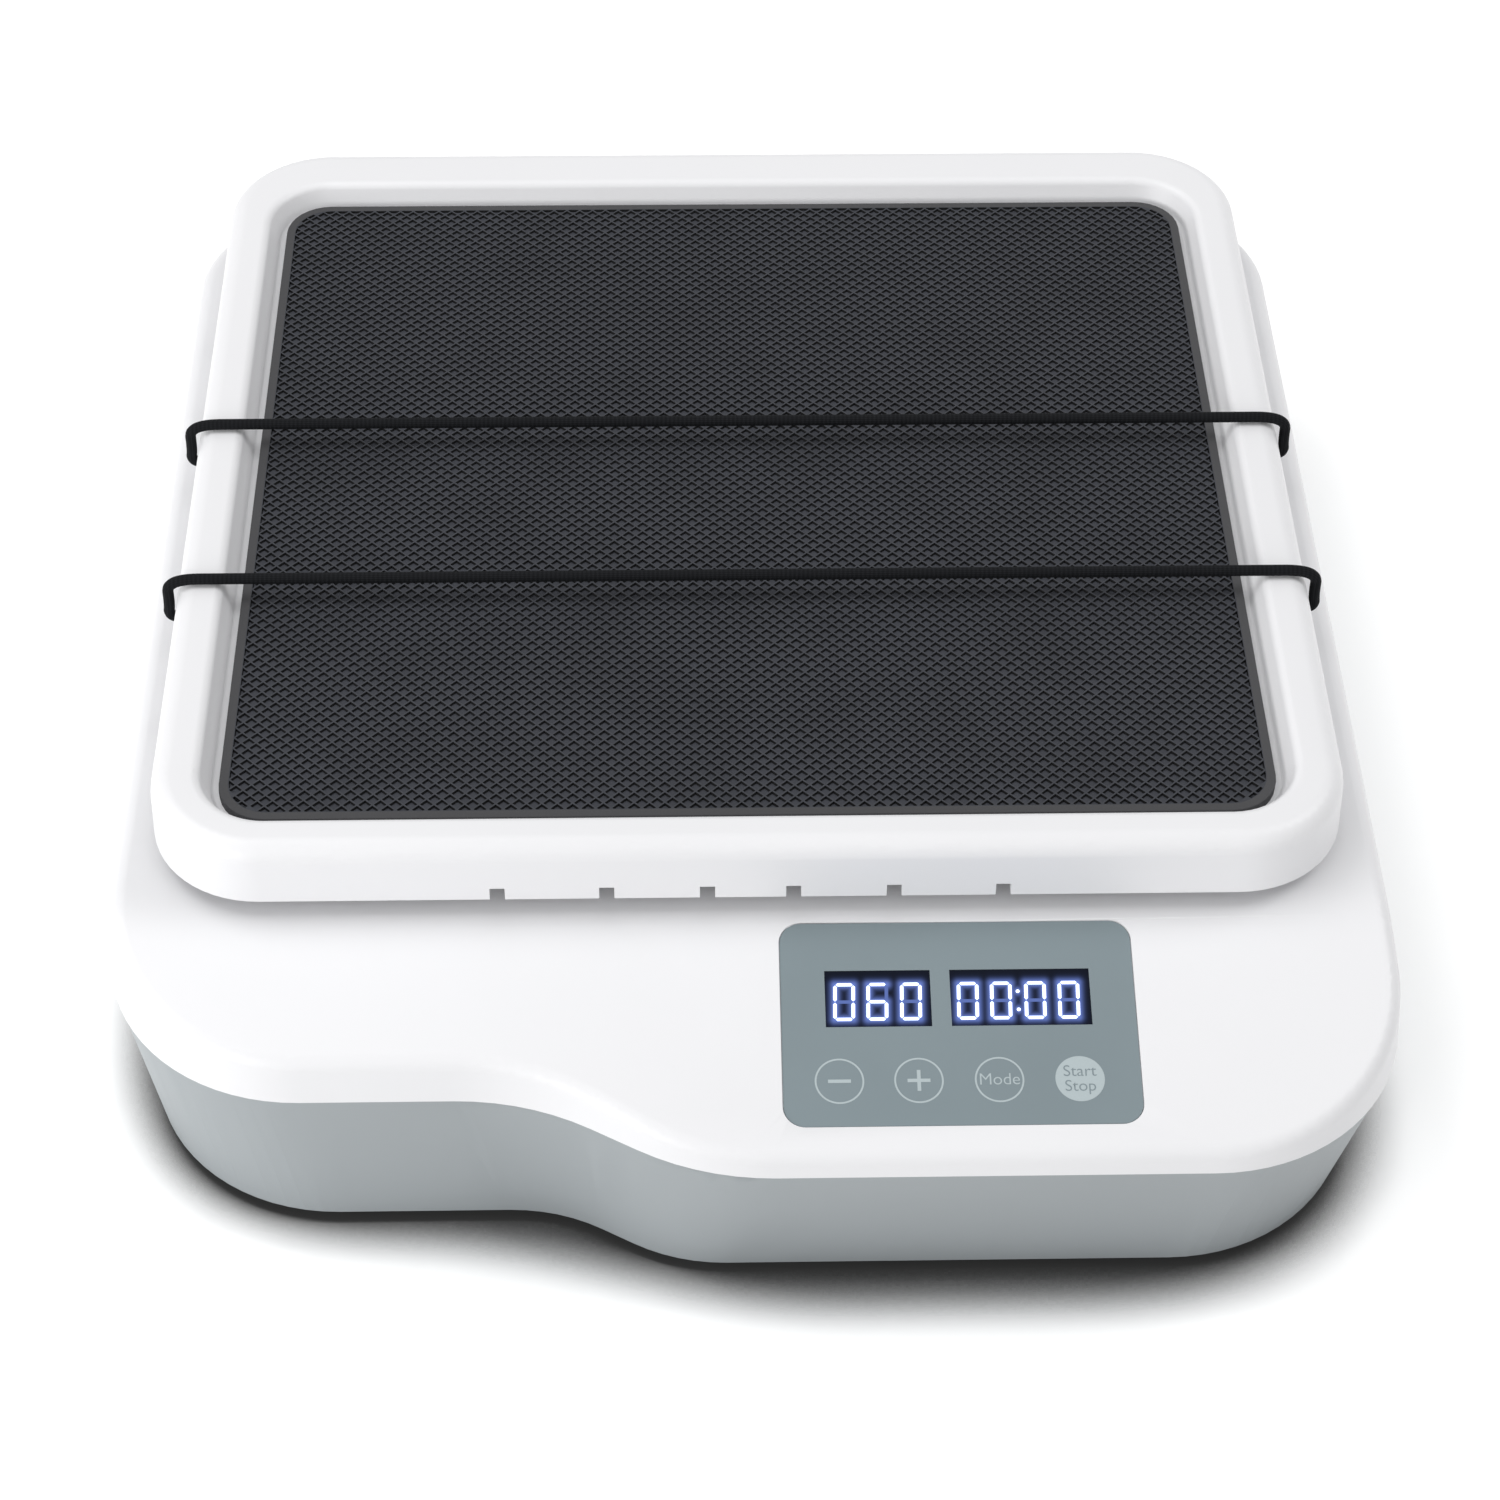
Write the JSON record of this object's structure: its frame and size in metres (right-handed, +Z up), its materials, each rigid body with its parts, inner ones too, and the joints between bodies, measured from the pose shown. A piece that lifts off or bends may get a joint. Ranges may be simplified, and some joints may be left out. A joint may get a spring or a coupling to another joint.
{
  "type": "linear shaker",
  "caption": "Bench linear shaker: a lipped tray with a rubber mat and two elastic cords slides side to side on a wave-fronted casing with a sloping control panel.",
  "frame": {"origin": "on the table under the middle of the casing", "axes": "+Z up, +X to the right seen from the front, +Y to the back"},
  "size_m": [0.362, 0.4032, 0.1096],
  "materials": {
    "grey_casing": "satin moulded grey plastic",
    "white_casing": "satin white moulded plastic",
    "black_rubber_mat": "matte rubber with a raised diamond pattern",
    "elastic_cord": "smooth black elastic",
    "black_plastic": "fine matte",
    "panel_overlay": "glossy printed film",
    "display_lens": "dark tinted lens",
    "circuit_board": "solder mask",
    "foot_rubber": "matte",
    "fastener_steel": "zinc plated",
    "plated_steel": "zinc plated sheet",
    "machined_aluminium": "machined",
    "belt_rubber": "matte",
    "acetal": "machined plastic",
    "ground_steel": "ground"
  },
  "bodies": {
    "base": {"bearing_balls": "ground_steel", "bearing_housing": "machined_aluminium", "bearing_outer_rings": "ground_steel", "board_pillars": "fastener_steel", "chassis_plate": "plated_steel", "chassis_screws": "fastener_steel", "control_board": "circuit_board", "control_panel": "panel_overlay", "display_modules": "black_plastic", "display_window_speed": "display_lens", "display_window_time": "display_lens", "drive_belt": "belt_rubber", "drive_board": "circuit_board", "foot_front_left": "foot_rubber", "foot_front_right": "foot_rubber", "foot_rear_left": "foot_rubber", "foot_rear_right": "foot_rubber", "guide_rod_front": "ground_steel", "guide_rod_rear": "ground_steel", "housing_screws": "fastener_steel", "lower_housing": "grey_casing", "motor_bracket": "plated_steel", "motor_case": "machined_aluminium", "power_socket": "black_plastic", "rod_support_front_left": "machined_aluminium", "rod_support_front_right": "machined_aluminium", "rod_support_rear_left": "machined_aluminium", "rod_support_rear_right": "machined_aluminium", "small_screws": "fastener_steel", "switch_body": "black_plastic", "top_cover": "white_casing"},
    "platform": {"bearing_block_front_left": "machined_aluminium", "bearing_block_front_right": "machined_aluminium", "bearing_block_rear_left": "machined_aluminium", "bearing_block_rear_right": "machined_aluminium", "carriage_plate": "machined_aluminium", "carriage_screws": "fastener_steel", "cord_beads": "black_plastic", "elastic_cord_front": "elastic_cord", "elastic_cord_rear": "elastic_cord", "linear_bushings": "ground_steel", "post_screws": "fastener_steel", "rubber_mat": "black_rubber_mat", "tray": "white_casing", "tray_post_front_left": "machined_aluminium", "tray_post_front_right": "machined_aluminium", "tray_post_rear_left": "machined_aluminium", "tray_post_rear_right": "machined_aluminium", "tray_screws": "fastener_steel", "yoke_plate": "acetal"},
    "crank": {"crank_disc": "plated_steel", "crank_shaft": "ground_steel", "crank_pin": "ground_steel", "roller_clip": "fastener_steel", "driven_pulley": "machined_aluminium", "bearing_inner_rings": "ground_steel"},
    "roller": {"crank_roller": "ground_steel"},
    "motor_rotor": {"motor_rotor": "ground_steel", "drive_pulley": "machined_aluminium"},
    "power_rocker": {"switch_rocker": "black_plastic"}
  },
  "joints": [
    {"name": "tray_slide", "type": "slide", "parent": "base", "child": "platform", "axis": [1, 0, 0], "range_m": [-0.01, 0.01]},
    {"name": "crank_spin", "type": "hinge", "parent": "base", "child": "crank", "pos_m": [0, 0.034, 0.045], "axis": [0, 0, -1], "range_deg": [-90, 90]},
    {"name": "roller_spin", "type": "hinge", "parent": "crank", "child": "roller", "pos_m": [0, 0.044, 0.057], "axis": [0, 0, 1], "continuous": true},
    {"name": "motor_spin", "type": "hinge", "parent": "base", "child": "motor_rotor", "pos_m": [-0.088, 0.034, 0.03], "axis": [0, 0, -1], "range_deg": [-298.43, 298.43]},
    {"name": "power_switch", "type": "hinge", "parent": "base", "child": "power_rocker", "pos_m": [0.124, 0.19696, 0.03], "axis": [-1, 0, 0], "range_deg": [0, 16]}
  ],
  "couplings": [
    {"joint": "crank_spin", "follows": "tray_slide", "rad_per_m": 157.08},
    {"joint": "motor_spin", "follows": "tray_slide", "rad_per_m": 520.84}
  ]
}
